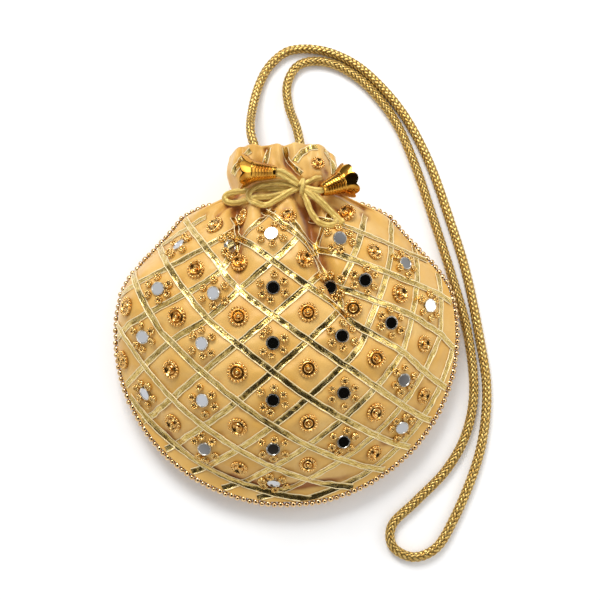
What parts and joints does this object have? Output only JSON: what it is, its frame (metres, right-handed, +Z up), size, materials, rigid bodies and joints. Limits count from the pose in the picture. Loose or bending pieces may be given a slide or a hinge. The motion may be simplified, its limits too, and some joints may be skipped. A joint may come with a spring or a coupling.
{
  "type": "potli bag",
  "caption": "Round stuffed drawstring pouch with a ribbon lattice, mirrors and beaded bosses, bell tassels and a long rope handle, lying on its back.",
  "frame": {"origin": "on the ground under the centre of the pouch's body circle, where the flat of the back rests", "axes": "+Z up out of the front, +Y towards the neck and mouth, +X to the right seen from above"},
  "size_m": [0.2216, 0.3097, 0.067],
  "materials": {
    "satin": "soft beige-gold satin",
    "lining_cloth": "thin plain lining cloth",
    "gold_beads": "polished gold-coated beads",
    "tissue_cord": "pale gold tissue cord",
    "bell_brass": "polished, ribbed",
    "rope": "braided antique-gold metallic thread",
    "gota_ribbon": "flat woven metallic gold ribbon",
    "mirror_glass": "round flat mirror"
  },
  "bodies": {
    "pouch": {"front_panel": "satin", "back_panel": "satin", "lining": "lining_cloth", "bead_edging": "gold_beads", "drawstring": "tissue_cord", "handle_cord": "rope", "ribbon_01": "gota_ribbon", "ribbon_02": "gota_ribbon", "ribbon_03": "gota_ribbon", "ribbon_04": "gota_ribbon", "ribbon_05": "gota_ribbon", "ribbon_06": "gota_ribbon", "ribbon_07": "gota_ribbon", "ribbon_08": "gota_ribbon", "ribbon_09": "gota_ribbon", "ribbon_10": "gota_ribbon", "ribbon_11": "gota_ribbon", "ribbon_12": "gota_ribbon", "ribbon_13": "gota_ribbon", "ribbon_14": "gota_ribbon", "ribbon_15": "gota_ribbon", "ribbon_16": "gota_ribbon", "ribbon_17": "gota_ribbon", "ribbon_18": "gota_ribbon", "ribbon_19": "gota_ribbon", "ribbon_20": "gota_ribbon", "ribbon_21": "gota_ribbon", "ribbon_22": "gota_ribbon", "ribbon_23": "gota_ribbon", "ribbon_24": "gota_ribbon", "mirror_01": "mirror_glass", "mirror_02": "mirror_glass", "mirror_03": "mirror_glass", "mirror_04": "mirror_glass", "mirror_05": "mirror_glass", "mirror_06": "mirror_glass", "mirror_07": "mirror_glass", "mirror_08": "mirror_glass", "mirror_09": "mirror_glass", "mirror_10": "mirror_glass", "mirror_11": "mirror_glass", "mirror_12": "mirror_glass", "mirror_13": "mirror_glass", "mirror_14": "mirror_glass", "mirror_15": "mirror_glass", "mirror_16": "mirror_glass", "mirror_17": "mirror_glass", "mirror_18": "mirror_glass", "mirror_19": "mirror_glass", "mirror_20": "mirror_glass", "mirror_21": "mirror_glass", "mirror_22": "mirror_glass", "mirror_23": "mirror_glass", "mirror_24": "mirror_glass", "mirror_25": "mirror_glass", "mirror_26": "mirror_glass"},
    "left_bell": {"bell_left": "bell_brass"},
    "right_bell": {"bell_right": "bell_brass"}
  },
  "joints": [
    {"name": "bell_left_spin", "type": "hinge", "parent": "pouch", "child": "left_bell", "pos_m": [-0.0053, 0.0825, 0.056], "axis": [-0.9957, 0.06, -0.07], "continuous": true},
    {"name": "bell_right_spin", "type": "hinge", "parent": "pouch", "child": "right_bell", "pos_m": [0.0197, 0.0729, 0.0535], "axis": [0.796, 0.423, -0.433], "continuous": true}
  ]
}
